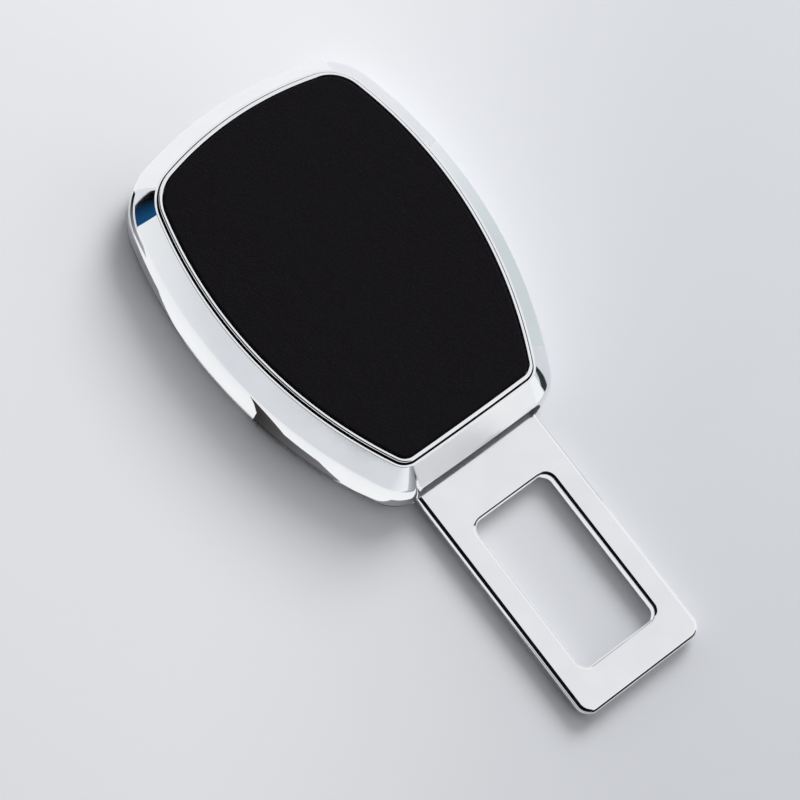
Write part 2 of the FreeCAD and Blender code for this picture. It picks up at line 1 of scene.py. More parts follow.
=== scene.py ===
# %% [markdown]
# # A chrome latch tongue with a leather inlay
# The object is a flat steel tongue in a shield-shaped chrome head. The head is two die-cast
# shells; a thin bright bezel lies in a pocket on its face and holds a black leather inlay.
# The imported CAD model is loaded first, as a fixed frame. Every piece below is made in the same
# place and at the same size, in metres, but with the smooth surfaces and finishes of the real one.

import bmesh
import bpy
import math
from mathutils import Matrix, Vector


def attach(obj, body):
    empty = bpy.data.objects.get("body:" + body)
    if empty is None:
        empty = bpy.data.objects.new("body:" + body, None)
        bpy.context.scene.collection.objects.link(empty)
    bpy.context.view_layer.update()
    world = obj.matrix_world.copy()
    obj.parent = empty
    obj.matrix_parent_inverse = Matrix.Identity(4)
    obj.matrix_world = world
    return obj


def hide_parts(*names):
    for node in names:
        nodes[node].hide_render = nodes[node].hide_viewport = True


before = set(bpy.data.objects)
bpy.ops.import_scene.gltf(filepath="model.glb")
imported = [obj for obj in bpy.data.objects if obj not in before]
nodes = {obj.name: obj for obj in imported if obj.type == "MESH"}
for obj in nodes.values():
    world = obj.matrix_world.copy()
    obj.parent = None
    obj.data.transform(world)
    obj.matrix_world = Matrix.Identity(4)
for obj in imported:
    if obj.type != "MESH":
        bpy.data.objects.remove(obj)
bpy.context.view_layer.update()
MM = 0.001
print("nodes:", ", ".join(sorted(nodes)))

# %% [markdown]
# ## The camera
# The picture was taken from almost straight above with a long lens. The head leans away from the
# lens by 16 degrees about its length and 7 degrees about its width, and is turned by 38 degrees in
# the picture. Those three turns carry the object's axes into the camera's, so the camera's own
# turn is their inverse. The lens is written as half a metre of distance at 6.43 pixels a millimetre.

# %% Camera
INLAY_MIDDLE = Vector((0.0, 21.45, 12.8)) * MM
LEAN_LENGTH = 16.0
LEAN_WIDTH = -7.33
TURN = 37.64
DISTANCE = 500.0
PIXELS_PER_MM = 6.431
PICTURE_WIDTH = 800
AIM = Vector((7.456, -20.906))

turns = (
    Matrix.Rotation(math.radians(TURN), 3, "Z")
    @ Matrix.Rotation(math.radians(LEAN_WIDTH), 3, "X")
    @ Matrix.Rotation(math.radians(LEAN_LENGTH), 3, "Y")
)
stand = turns.transposed() @ (Vector((AIM.x, AIM.y, DISTANCE)) * MM) + INLAY_MIDDLE
camera_data = bpy.data.cameras.new("long_lens")
camera_data.sensor_width = 36.0
camera_data.lens = PIXELS_PER_MM * DISTANCE * camera_data.sensor_width / PICTURE_WIDTH
camera = bpy.data.objects.new("camera", camera_data)
camera.matrix_world = Matrix.Translation(stand) @ turns.transposed().to_4x4()
bpy.context.scene.collection.objects.link(camera)
bpy.context.scene.camera = camera
bpy.context.scene.view_settings.view_transform = "Standard"
print("camera at", [round(value, 3) for value in stand], "lens", round(camera_data.lens, 1))

# %% [markdown]
# ## A few small helpers
# Colours are written as hex values, the way a picture editor shows them, and turned to the linear
# values that the shaders add up. One function adds a node to any tree: plain words set its
# properties, and the dictionary sets its sockets, either to a value or to another node's output.
# The others make an object, an empty material, and the last link of a material.

# %% Helpers for colours, nodes and objects
def linear(hex_colour):
    """An sRGB hex colour as linear red, green, blue and 1."""
    parts = [int(hex_colour[place:place + 2], 16) / 255 for place in (1, 3, 5)]
    return tuple(p / 12.92 if p <= 0.04045 else ((p + 0.055) / 1.055) ** 2.4 for p in parts) + (1.0,)


def add(tree, kind, sockets=None, **settings):
    """Adds a node; a socket's entry is a value, or the output of another node to link."""
    node = tree.nodes.new(kind)
    for name, value in settings.items():
        setattr(node, name, value)
    for key, value in (sockets or {}).items():
        if isinstance(value, bpy.types.NodeSocket):
            tree.links.new(value, node.inputs[key])
        else:
            node.inputs[key].default_value = value
    return node


def new_object(name, data):
    """A new object, linked to the scene."""
    made = bpy.data.objects.new(name, data)
    bpy.context.scene.collection.objects.link(made)
    return made


def new_material(name):
    """An empty node material."""
    material = bpy.data.materials.new(name)
    material.use_nodes = True
    material.node_tree.nodes.clear()
    return material


def finish_material(material, shader, colour_in_viewport):
    """Links the shader to the output and gives the viewport a like colour."""
    tree = material.node_tree
    add(tree, "ShaderNodeOutputMaterial", {"Surface": shader.outputs["BSDF"]})
    material.diffuse_color = colour_in_viewport
    print("material:", material.name)
    return material

# %% [markdown]
# ## Polished chrome
# The head's two shells are zinc castings, buffed and then plated with chrome over nickel. Chrome is
# a slightly blue mirror. A perfect one looks like a drawing, so the buffing is kept in two ways:
# the gloss varies a little over a few millimetres, and the skin is not quite flat.
# The buffing wheel can't get close above the tongue, so the narrow end of the casting stays satin.
# The other bright pieces use the same recipe with their own colour, gloss and grain.

# %% Chrome materials
SATIN_STARTS = -9.0
SATIN_FULL = -9.8
SATIN_OUTSIDE = 12.2
SATIN_INSIDE = 11.2
SATIN_ROUGHNESS = 0.3


def make_chrome(name, colour, rough_low, rough_high, patch_mm, wave_mm, wave_height_mm, satin_end=False):
    """Plated metal: patches of slightly different gloss, and a faint wave left by the buffing."""
    material = new_material(name)
    tree = material.node_tree
    place = add(tree, "ShaderNodeTexCoord")
    patches = add(tree, "ShaderNodeTexNoise", {
        "Vector": place.outputs["Object"], "Scale": 1 / (patch_mm * MM), "Detail": 3.0})
    gloss = add(tree, "ShaderNodeMapRange", {
        "Value": patches.outputs["Fac"], "From Min": 0.35, "From Max": 0.65,
        "To Min": rough_low, "To Max": rough_high})
    tone = add(tree, "ShaderNodeMapRange", {
        "Value": patches.outputs["Fac"], "From Min": 0.3, "From Max": 0.7, "To Min": 0.0, "To Max": 1.0})
    tint = add(tree, "ShaderNodeMix", {
        "Factor": tone.outputs["Result"], "A": linear(colour[0]), "B": linear(colour[1])}, data_type="RGBA")
    waves = add(tree, "ShaderNodeTexNoise", {
        "Vector": place.outputs["Object"], "Scale": 1 / (wave_mm * MM), "Detail": 1.0})
    bump = add(tree, "ShaderNodeBump", {
        "Height": waves.outputs["Fac"], "Strength": 1.0, "Distance": wave_height_mm * MM})
    roughness = gloss.outputs["Result"]
    if satin_end:
        where = add(tree, "ShaderNodeSeparateXYZ", {"Vector": place.outputs["Object"]})
        beside = add(tree, "ShaderNodeMath", {0: where.outputs["X"]}, operation="ABSOLUTE")
        near_end = add(tree, "ShaderNodeMapRange", {
            "Value": where.outputs["Y"], "From Min": SATIN_STARTS * MM, "From Max": SATIN_FULL * MM,
            "To Min": 0.0, "To Max": SATIN_ROUGHNESS}, interpolation_type="SMOOTHSTEP")
        above_tongue = add(tree, "ShaderNodeMapRange", {
            "Value": beside.outputs["Value"], "From Min": SATIN_OUTSIDE * MM, "From Max": SATIN_INSIDE * MM},
            interpolation_type="SMOOTHSTEP")
        satin = add(tree, "ShaderNodeMath", {
            0: near_end.outputs["Result"], 1: above_tongue.outputs["Result"]}, operation="MULTIPLY")
        roughness = add(tree, "ShaderNodeMath", {
            0: satin.outputs["Value"], 1: roughness}, operation="MAXIMUM").outputs["Value"]
    shader = add(tree, "ShaderNodeBsdfPrincipled", {
        "Base Color": tint.outputs["Result"], "Metallic": 1.0,
        "Roughness": roughness, "Normal": bump.outputs["Normal"]})
    return finish_material(material, shader, linear(colour[0]))


# Head and cover: zinc castings, buffed, then nickel and chrome
cast_chrome = make_chrome("chrome_on_zinc_casting", ("#F8F9FA", "#F4F5F7"), rough_low=0.035, rough_high=0.06,
                          patch_mm=6.0, wave_mm=9.0, wave_height_mm=0.002, satin_end=True)
# Tongue: stamped steel, tumbled rather than buffed, so a little duller
steel_chrome = make_chrome("chrome_on_stamped_steel", ("#F3F3F4", "#EFEFF1"), rough_low=0.07, rough_high=0.11,
                           patch_mm=5.0, wave_mm=12.0, wave_height_mm=0.002)
# Bezel: thin plated sheet
bright_trim = make_chrome("bright_plated_trim", ("#F7F8F9", "#F2F3F5"), rough_low=0.05, rough_high=0.09,
                          patch_mm=4.0, wave_mm=6.0, wave_height_mm=0.001)

# %% [markdown]
# ## Leather
# The inlay is thin black leather, pressed and lightly coated. Its grain is a net of fine creases
# round small pads, about half a millimetre across, with wider folds below them. A Voronoi
# texture's distance to its cell edges draws the creases, and noise bends the cells so that no
# two look alike. The coating is matt, so its specular level is far below that of a clear lacquer.

# %% Leather material
PAD_MM = 0.5
FOLD_MM = 2.2
FOLDS_OVER_CREASES = 4.0
GRAIN_DEPTH_MM = 0.05

# Thin black cowhide, pressed with a fine grain and matt coated
leather = new_material("black_leather_fine_grain")
tree = leather.node_tree
place = add(tree, "ShaderNodeTexCoord")
bend = add(tree, "ShaderNodeTexNoise", {
    "Vector": place.outputs["Object"], "Scale": 1 / (2 * PAD_MM * MM), "Detail": 2.0})
shift = add(tree, "ShaderNodeVectorMath", {
    0: bend.outputs["Color"], "Scale": 2.4 * PAD_MM * MM}, operation="SCALE")
bent = add(tree, "ShaderNodeVectorMath", {
    0: place.outputs["Object"], 1: shift.outputs["Vector"]}, operation="ADD")
pads = add(tree, "ShaderNodeTexVoronoi", {
    "Vector": bent.outputs["Vector"], "Scale": 1 / (PAD_MM * MM)}, feature="DISTANCE_TO_EDGE")
crease = add(tree, "ShaderNodeMapRange", {
    "Value": pads.outputs["Distance"], "From Min": 0.0, "From Max": 0.3})
folds = add(tree, "ShaderNodeTexNoise", {
    "Vector": place.outputs["Object"], "Scale": 1 / (FOLD_MM * MM), "Detail": 9.0, "Roughness": 0.7})
height = add(tree, "ShaderNodeMath", {
    0: folds.outputs["Fac"], 1: FOLDS_OVER_CREASES, 2: crease.outputs["Result"]}, operation="MULTIPLY_ADD")
bump = add(tree, "ShaderNodeBump", {
    "Height": height.outputs["Value"], "Strength": 0.7, "Distance": GRAIN_DEPTH_MM * MM})
# The creases are painted a little darker than the pads: painted shade in the creases
colour = add(tree, "ShaderNodeMix", {
    "Factor": crease.outputs["Result"], "A": linear("#110F12"), "B": linear("#171518")}, data_type="RGBA")
matt = add(tree, "ShaderNodeMapRange", {
    "Value": folds.outputs["Fac"], "From Min": 0.3, "From Max": 0.7, "To Min": 0.5, "To Max": 0.62})
shader = add(tree, "ShaderNodeBsdfPrincipled", {
    "Base Color": colour.outputs["Result"], "Roughness": matt.outputs["Result"],
    "Specular IOR Level": 0.06, "Normal": bump.outputs["Normal"]})
finish_material(leather, shader, linear("#141315"))

# %% [markdown]
# ## Plain materials in and under the head
# The block above the tongue is moulded black plastic with a fine spark-eroded texture. The screws
# are zinc-plated steel. The board is pressed fibre and the tapes are a cloudy adhesive film. They
# hardly show, but each has its own grain, so that the parts still look right taken apart.
# Two more are for the castings' narrow places. The groove round the bezel is painted near-black and
# dull as painted shade, for the shade deep in it; plating and buffing don't reach the slot's walls, which
# stay a matt silver.

# %% Plastic, steel, board and tape
def make_plain(name, dark, light, grain_mm, height_mm, rough_low, rough_high, metallic=0.0, specular=0.5):
    """A material with one grain that moves its colour, roughness and height together."""
    material = new_material(name)
    tree = material.node_tree
    place = add(tree, "ShaderNodeTexCoord")
    grain = add(tree, "ShaderNodeTexNoise", {
        "Vector": place.outputs["Object"], "Scale": 1 / (grain_mm * MM), "Detail": 4.0})
    share = add(tree, "ShaderNodeMapRange", {
        "Value": grain.outputs["Fac"], "From Min": 0.3, "From Max": 0.7})
    tint = add(tree, "ShaderNodeMix", {
        "Factor": share.outputs["Result"], "A": linear(dark), "B": linear(light)}, data_type="RGBA")
    rough = add(tree, "ShaderNodeMapRange", {
        "Value": share.outputs["Result"], "To Min": rough_low, "To Max": rough_high})
    bump = add(tree, "ShaderNodeBump", {
        "Height": grain.outputs["Fac"], "Strength": 1.0, "Distance": height_mm * MM})
    shader = add(tree, "ShaderNodeBsdfPrincipled", {
        "Base Color": tint.outputs["Result"], "Metallic": metallic, "Roughness": rough.outputs["Result"],
        "Specular IOR Level": specular, "Normal": bump.outputs["Normal"]})
    return finish_material(material, shader, linear(light))


# Block above the tongue: injection-moulded plastic
black_plastic = make_plain("moulded_black_plastic", "#0B0B0C", "#121213", grain_mm=0.3, height_mm=0.02,
                           rough_low=0.5, rough_high=0.65, specular=0.25)
# Screws: steel with a thin grey coat of zinc
zinc_steel = make_plain("zinc_plated_steel", "#A9ABAF", "#C3C5C8", grain_mm=0.8, height_mm=0.004,
                        rough_low=0.22, rough_high=0.34, metallic=1.0)
# Board under the leather: brown pressed fibre
fibre_board = make_plain("pressed_fibre_board", "#4A4238", "#6B6050", grain_mm=0.6, height_mm=0.05,
                         rough_low=0.8, rough_high=0.95)
# Groove round the bezel: painted shade, near-black and dull where shade falls in the narrow gap
groove_painted_shade = make_plain("painted_shade_in_groove", "#0E0F11", "#1B1C1F", grain_mm=0.5, height_mm=0.01,
                         rough_low=0.6, rough_high=0.8, specular=0.2)
# Walls of the slot: the casting's own skin, silvery and matt
matt_casting = make_plain("matt_silver_casting", "#C6C8CC", "#DADCDF", grain_mm=0.5, height_mm=0.01,
                          rough_low=0.5, rough_high=0.65)
# Tapes: clear film gone cloudy with its adhesive
tape_film = make_plain("adhesive_film", "#A9A698", "#BCB9AC", grain_mm=1.5, height_mm=0.01,
                       rough_low=0.35, rough_high=0.5)

# %% [markdown]
# ## The shield outline
# One outline rules the head. It is eight arcs that run into each other: a long shallow arc on
# each side, a wide end, an almost straight narrow end, and four corners. Because the arcs share
# their centres, the bevel, the land, the bezel and the leather all run beside it at an even
# distance. Only the right half is worked out; the left half is its mirror.

# %% Outline of the inlay
HALF_LENGTH = 29.8
WIDE_RADIUS = 55.0
NARROW_RADIUS = 700.0
SIDE_REACH = 21.1
SIDE_MIDDLE = 4.9
SIDE_RADIUS = 72.5
WIDE_CORNER = 6.4
NARROW_CORNER = 2.2
HEAD_MIDDLE = INLAY_MIDDLE.y / MM


def crossing(first, first_radius, second, second_radius):
    """The crossing of two circles that lies on the right."""
    between = second - first
    along = (first_radius ** 2 - second_radius ** 2 + between.length_squared) / (2 * between.length)
    across = math.sqrt(first_radius ** 2 - along ** 2)
    ahead = between.normalized()
    beside = Vector((-ahead.y, ahead.x)) * across
    return max(first + ahead * along + beside, first + ahead * along - beside, key=lambda p: p.x)


def arc(centre, radius, first, last, steps):
    """Points on an arc, angles in radians, without its last point."""
    angles = [first + (last - first) * step / steps for step in range(steps)]
    return [centre + radius * Vector((math.cos(angle), math.sin(angle))) for angle in angles]


def bearing(centre, point):
    """Direction from a centre to a point."""
    return math.atan2(point.y - centre.y, point.x - centre.x)


def shield_outline():
    """The inlay's outline in millimetres, turning left from the middle of the narrow end."""
    narrow = Vector((0.0, NARROW_RADIUS - HALF_LENGTH))
    wide = Vector((0.0, HALF_LENGTH - WIDE_RADIUS))
    side = Vector((SIDE_REACH - SIDE_RADIUS, SIDE_MIDDLE))
    low = crossing(narrow, NARROW_RADIUS - NARROW_CORNER, side, SIDE_RADIUS - NARROW_CORNER)
    high = crossing(wide, WIDE_RADIUS - WIDE_CORNER, side, SIDE_RADIUS - WIDE_CORNER)
    bottom, top = -math.pi / 2, math.pi / 2
    right = arc(narrow, NARROW_RADIUS, bottom, bearing(narrow, low), 24)
    right += arc(low, NARROW_CORNER, bearing(narrow, low), bearing(side, low), 40)
    right += arc(side, SIDE_RADIUS, bearing(side, low), bearing(side, high), 90)
    right += arc(high, WIDE_CORNER, bearing(side, high), bearing(wide, high), 36)
    right += arc(wide, WIDE_RADIUS, bearing(wide, high), top, 36)
    end = Vector((0.0, HALF_LENGTH))
    left = [Vector((-point.x, point.y)) for point in reversed(right[1:])]
    return [point + Vector((0.0, HEAD_MIDDLE)) for point in right + [end] + left]


shield = shield_outline()
print("outline:", len(shield), "points, widest", round(2 * max(p.x for p in shield), 2), "mm")

# %% [markdown]
# ## Sections with rounded corners
# A section is drawn as corners, each with its own rounding. A flat that meets a rounding gets an
# extra point a few hundredths of a millimetre away. It keeps the flat really flat in a mirror
# finish, because the shading bends only across that narrow strip.

# %% Rounded corners
GUARD = 0.04
WIDE_ARC_STEP = 2.0
NARROW_ARC_STEP = 7.5


def rounded(corners, closed=False):
    """A line through (x, y, radius) corners, with arcs at the corners and guard points beside them."""
    points = []
    count = len(corners)
    for index, (x, y, radius) in enumerate(corners):
        corner = Vector((x, y))
        at_end = not closed and index in (0, count - 1)
        if at_end or radius == 0:
            points.append(corner)
            continue
        back = Vector(corners[index - 1][:2]) - corner
        ahead = Vector(corners[(index + 1) % count][:2]) - corner
        half = back.angle(ahead) / 2
        reach = radius / math.tan(half)
        centre = corner + (back.normalized() + ahead.normalized()).normalized() * radius / math.sin(half)
        start = corner + back.normalized() * reach
        end = corner + ahead.normalized() * reach
        first = bearing(centre, start)
        turn = (bearing(centre, end) - first + math.pi) % (2 * math.pi) - math.pi
        step = WIDE_ARC_STEP if radius > 1 else NARROW_ARC_STEP
        steps = max(4, math.ceil(abs(turn) / math.radians(step)))
        points.append(start + back.normalized() * GUARD)
        points += arc(centre, radius, first, first + turn, steps)
        points += [end, end + ahead.normalized() * GUARD]
    return points


LAND = (1.25, 12.2)
RIM = 4.9
BEVEL_ANGLE = math.radians(54)
WALL_EDGE = LAND[1] - (RIM - LAND[0]) * math.tan(BEVEL_ANGLE)
LAND_ROUNDING = 0.1
SHOULDER_ROUNDING = 4.4
BACK_ROUNDING = 1.49
PARTING = 1.8
PARTING_BEVEL = 0.15
WALL_INSIDE = 3.1
POCKET = (0.85, 10.8)
DECK_EDGE = 0.8
shell_section = rounded([
    (POCKET[0], POCKET[1], 0), (POCKET[0], LAND[1], LAND_ROUNDING), (LAND[0], LAND[1], LAND_ROUNDING),
    (RIM, WALL_EDGE, SHOULDER_ROUNDING), (RIM, PARTING + PARTING_BEVEL, 0), (RIM - PARTING_BEVEL, PARTING, 0),
    (WALL_INSIDE, PARTING, 0), (WALL_INSIDE, 8.0, 0), (DECK_EDGE, 8.0, 0), (DECK_EDGE, 9.3, 0)])
cover_section = rounded([
    (WALL_INSIDE, 0.9, 0), (WALL_INSIDE, PARTING, 0), (RIM - PARTING_BEVEL, PARTING, 0),
    (RIM, PARTING - PARTING_BEVEL, 0), (RIM, 0.0, BACK_ROUNDING), (3.2, 0.0, 0)])
bezel_section = rounded([
    (0.65, 11.0, 0), (0.65, 13.0, 0.28), (0.0, 13.0, 0.28), (0.0, 11.5, 0)])
leather_section = rounded([
    (-0.9, 12.2, 0), (-0.9, 11.65, 0), (-0.02, 11.65, 0), (-0.02, 13.1, 0.55), (-0.8, 13.1, 0)])
print("points in the shell's section:", len(shell_section), "and in the cover's:", len(cover_section))

# %% [markdown]
# ## A rule that follows the outline
# Every shield-shaped piece is one section carried round the outline, so one node tree makes them
# all. Curve to Mesh does the carrying: a section's first number is its distance outside the
# outline and its second its height. The result is an open band. Its two free edges are then
# closed with flat faces, and a cutter takes out slots and holes where the real casting has them.

# %% Node tree that carries a section round an outline
follow = bpy.data.node_groups.new("follow_outline", "GeometryNodeTree")
sockets = {}
for label, kind in (("Outline", "Object"), ("Section", "Object"), ("Finish", "Material")):
    entry = follow.interface.new_socket(label, in_out="INPUT", socket_type="NodeSocket" + kind)
    sockets[label] = entry.identifier
follow.interface.new_socket("Geometry", in_out="OUTPUT", socket_type="NodeSocketGeometry")
given = add(follow, "NodeGroupInput")
outline_in = add(follow, "GeometryNodeObjectInfo", {"Object": given.outputs["Outline"]})
section_in = add(follow, "GeometryNodeObjectInfo", {"Object": given.outputs["Section"]})
band = add(follow, "GeometryNodeCurveToMesh", {
    "Curve": outline_in.outputs["Geometry"], "Profile Curve": section_in.outputs["Geometry"]})
plain = add(follow, "GeometryNodeRealizeInstances", {"Geometry": band.outputs["Mesh"]})
coated = add(follow, "GeometryNodeSetMaterial", {
    "Geometry": plain.outputs["Geometry"], "Material": given.outputs["Finish"]})
add(follow, "NodeGroupOutput", {"Geometry": coated.outputs["Geometry"]})


def new_curve(name, points, closed):
    """A curve object through points in millimetres."""
    data = bpy.data.curves.new(name, "CURVE")
    data.dimensions = "3D"
    line = data.splines.new("POLY")
    line.points.add(len(points) - 1)
    for knot, point in zip(line.points, points):
        knot.co = (point.x * MM, point.y * MM, 0.0, 1.0)
    line.use_cyclic_u = closed
    return new_object(name, data)


def baked(carrier):
    """The evaluated mesh of an object, as plain data."""
    bpy.context.view_layer.update()
    seen = carrier.evaluated_get(bpy.context.evaluated_depsgraph_get())
    return bpy.data.meshes.new_from_object(seen)


def make_band(outline, section, material):
    """One section carried round one outline, as a bmesh."""
    path = new_curve("outline_line", outline, True)
    # Curve to Mesh lays a section's y toward the back of a left-turning curve, so it is turned over
    shape = new_curve("section_line", [Vector((p.x, -p.y)) for p in section], False)
    carrier = new_object("band", bpy.data.meshes.new("band"))
    modifier = carrier.modifiers.new("follow", "NODES")
    modifier.node_group = follow
    for label, value in (("Outline", path), ("Section", shape), ("Finish", material)):
        modifier[sockets[label]] = value
    mesh = baked(carrier)
    result = bmesh.new()
    result.from_mesh(mesh)
    bpy.data.objects.remove(carrier)
    for helper in (path, shape):
        bpy.data.objects.remove(helper)
    return result


def close_flats(shape):
    """Fills the free edges of a bmesh, one flat for each height."""
    free = [edge for edge in shape.edges if edge.is_boundary]
    for level in sorted({round(edge.verts[0].co.z / MM, 3) for edge in free}):
        ring = [edge for edge in free if abs(edge.verts[0].co.z / MM - level) < 0.002]
        bmesh.ops.triangle_fill(shape, edges=ring, use_beauty=True, normal=(0.0, 0.0, 1.0))
    bmesh.ops.recalc_face_normals(shape, faces=shape.faces[:])


def make_piece(name, bands, material):
    """Joins bands into one closed piece; each is (outline, section)."""
    whole = bpy.data.meshes.new(name)
    shape = bmesh.new()
    for outline, section in bands:
        part = make_band(outline, section, material)
        part.to_mesh(whole)
        part.free()
        shape.from_mesh(whole)
    close_flats(shape)
    shape.to_mesh(whole)
    shape.free()
    whole.materials.clear()
    whole.materials.append(material)
    return new_object(name, whole)


def paint(piece, material, belongs):
    """Gives a second material to the faces that belong to a surface."""
    piece.data.materials.append(material)
    chosen = [face for face in piece.data.polygons if belongs(face)]
    for face in chosen:
        face.material_index = len(piece.data.materials) - 1
    print(piece.name, "has", len(chosen), "faces of", material.name)


SMOOTH_BELOW = math.radians(30)


def settle(piece, node):
    """Smooths the shading below an angle, then hands the piece to the frame."""
    piece.data.shade_smooth()
    piece.data.set_sharp_from_angle(angle=SMOOTH_BELOW)
    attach(piece, "root")
    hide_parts(node)
    low, high = ([round(choose(vert.co[axis] for vert in piece.data.vertices) / MM, 2) for axis in range(3)]
                 for choose in (min, max))
    print(piece.name, len(piece.data.polygons), "faces, from", low, "to", high, "mm")

# %% [markdown]
# ## Cutting slots and holes
# The tongue leaves the head through a slot in the narrow end. Most of it is in the front shell and
# its lowest part is in the rear cover. Four countersunk holes go through the cover. A Boolean
# modifier takes these out with plain cutters, as a mill or a drill would, and its result is kept
# as a plain mesh.

# %% Cutters
def box_cutter(low, high):
    """A block between two corners in millimetres."""
    shape = bmesh.new()
    bmesh.ops.create_cube(shape, size=1.0)
    for vert in shape.verts:
        vert.co = Vector([(a + b) / 2 + c * (b - a) for a, b, c in zip(low, high, vert.co)]) * MM
    return shape


def slot_cutter(half, low, top, corner, front, back):
    """A bar along y with its two upper edges rounded."""
    corners = [(-half, low, 0), (half, low, 0), (half, top, corner), (-half, top, corner)]
    section = rounded(corners, closed=True)
    shape = bmesh.new()
    near, far = ([shape.verts.new(Vector((p.x, y, p.y)) * MM) for p in section] for y in (front, back))
    for index in range(len(section)):
        shape.faces.new((near[index - 1], near[index], far[index], far[index - 1]))
    shape.faces.new(near)
    shape.faces.new(list(reversed(far)))
    return shape


def turned_cutter(x, y, section):
    """A round cutter from (radius, height) pairs, standing at a place."""
    shape = bmesh.new()
    steps = 48
    rings = []
    for radius, level in section:
        angles = [2 * math.pi * step / steps for step in range(steps)]
        rings.append([shape.verts.new(Vector((
            x + radius * math.cos(angle), y + radius * math.sin(angle), level)) * MM) for angle in angles])
    for lower, upper in zip(rings, rings[1:]):
        for step in range(steps):
            after = (step + 1) % steps
            shape.faces.new((lower[step], lower[after], upper[after], upper[step]))
    shape.faces.new(list(reversed(rings[0])))
    shape.faces.new(rings[-1])
    return shape


def cut(piece, cutters):
    """Takes the cutters out of a piece."""
    for shape in cutters:
        mesh = bpy.data.meshes.new("cutter")
        bmesh.ops.recalc_face_normals(shape, faces=shape.faces[:])
        shape.to_mesh(mesh)
        shape.free()
        tool = new_object("cutter", mesh)
        modifier = piece.modifiers.new("cut", "BOOLEAN")
        modifier.operation = "DIFFERENCE"
        modifier.solver = "EXACT"
        modifier.object = tool
        result = baked(piece)
        piece.modifiers.clear()
        piece.data = result
        bpy.data.objects.remove(tool)

# %% [markdown]
# ## Front shell
# This is the piece that catches the eye: a wide bevel at 54 degrees that rolls over a rounded
# shoulder into the upright wall. A narrow flat land runs along the top of the bevel beside the
# pocket for the bezel. By where a face lies and which way it looks, the pocket's wall and floor get
# a near-black painted shade, and the slot's walls a matt silver.

# %% Front shell
def faces_inward(face):
    """Whether an upright face looks toward the middle of the head."""
    outward = Vector((face.center.x, face.center.y - HEAD_MIDDLE * MM, 0.0))
    return abs(face.normal.z) < 0.3 and face.normal.dot(outward) < 0


def pocket_wall(face):
    """The wall and the floor of the pocket round the bezel."""
    level = face.center.z / MM
    return 10.79 < level < 12.12 and (faces_inward(face) or (face.normal.z > 0.9 and level < 10.9))


SLOT_HALF = 12.15
SLOT_TOP = 7.7
SLOT_CORNER = 1.0
END_WALL = HEAD_MIDDLE - HALF_LENGTH - RIM
CUT_FROM = END_WALL - 2
CUT_TO = END_WALL + 2.8
WALL_THICKNESS = 1.9


def slot_wall(face):
    """The two sides and the top of the slot for the tongue."""
    x, y, level = face.center / MM
    in_slot = abs(x) < SLOT_HALF + 0.01 and y < END_WALL + WALL_THICKNESS and level < SLOT_TOP + 0.05
    is_side = abs(x) > SLOT_HALF - SLOT_CORNER - 0.15
    return in_slot and abs(face.normal.y) < 0.3 and (is_side or face.normal.z < -0.7)


shell = make_piece("chrome_shell", [(shield, shell_section)], cast_chrome)
cut(shell, [slot_cutter(SLOT_HALF, 1.0, SLOT_TOP, SLOT_CORNER, CUT_FROM, CUT_TO)])
# The pocket's wall and floor get painted shade, near-black where shade falls in the groove
paint(shell, groove_painted_shade, pocket_wall)
paint(shell, matt_casting, slot_wall)
settle(shell, "front_shell")

# %% [markdown]
# ## Rear cover
# A shallow cast tray closes the head from behind. Its outer edge is rounded, so that the head can
# lie flat without a sharp rim, and four countersunk holes take the screws.

# %% Rear cover
SCREW_PLACES = [(side * across, HEAD_MIDDLE + along) for across, along in ((16.5, 19.0), (17.2, -8.0))
                for side in (1, -1)]
countersink = [(2.6, -0.5), (2.6, 0.0), (1.5, 1.1), (1.5, 3.0)]

cover = make_piece("chrome_rear_cover", [(shield, cover_section)], cast_chrome)
cutters = [turned_cutter(x, y, countersink) for x, y in SCREW_PLACES]
cutters.append(box_cutter((-SLOT_HALF, CUT_FROM, 0.9), (SLOT_HALF, CUT_TO, 2.5)))
cut(cover, cutters)
settle(cover, "rear_cover")

# %% [markdown]
# ## Bezel and leather
# The bezel is a thin plated tray. Only its rounded rim shows, as a fine bright bead between the
# leather and a gap whose walls are painted near-black as painted shade. The leather's edge is turned down
# over a board and shows a soft roll.

# %% Bezel and leather inlay
bezel = make_piece("bright_bezel", [(shield, bezel_section)], bright_trim)
# The bezel's outer wall below its bead gets the same near-black painted shade
paint(bezel, groove_painted_shade, lambda face: face.center.z < 12.3 * MM and abs(face.normal.z) < 0.3
      and not faces_inward(face))
settle(bezel, "inlay_bezel")
inlay = make_piece("leather_skin", [(shield, leather_section)], leather)
settle(inlay, "leather_inlay")

# %% [markdown]
# ## Tongue
# The tongue is stamped from 2.5 mm steel plate, its edges tumbled round before it is plated. The
# edges of the window that the buckle's latch drops into are a little tighter. The same tree
# carries three kinds of section here: one round the blade, one round the window and one round
# each screw hole.

# %% Tongue plate
TONGUE_LOW = 0.9
TONGUE_HIGH = 3.4
HALF_WIDTH = 12.0
TIP = HEAD_MIDDLE - 77.6
SHOULDER = HEAD_MIDDLE - 26.0
ROOT_END = HEAD_MIDDLE - 6.0
ROOT_HALF = 13.5
blade_outline = rounded([
    (-HALF_WIDTH, TIP, 2.4), (HALF_WIDTH, TIP, 2.4), (HALF_WIDTH, SHOULDER, 0.2), (ROOT_HALF, SHOULDER, 1.0),
    (ROOT_HALF, ROOT_END, 1.0), (-ROOT_HALF, ROOT_END, 1.0), (-ROOT_HALF, SHOULDER, 1.0),
    (-HALF_WIDTH, SHOULDER, 0.2)], closed=True)
WINDOW_HALF = 7.5
WINDOW_FAR = TIP + 6.2
WINDOW_NEAR = WINDOW_FAR + 28.5
window_outline = rounded([
    (-WINDOW_HALF, WINDOW_FAR, 1.8), (WINDOW_HALF, WINDOW_FAR, 1.8), (WINDOW_HALF, WINDOW_NEAR, 1.8),
    (-WINDOW_HALF, WINDOW_NEAR, 1.8)], closed=True)


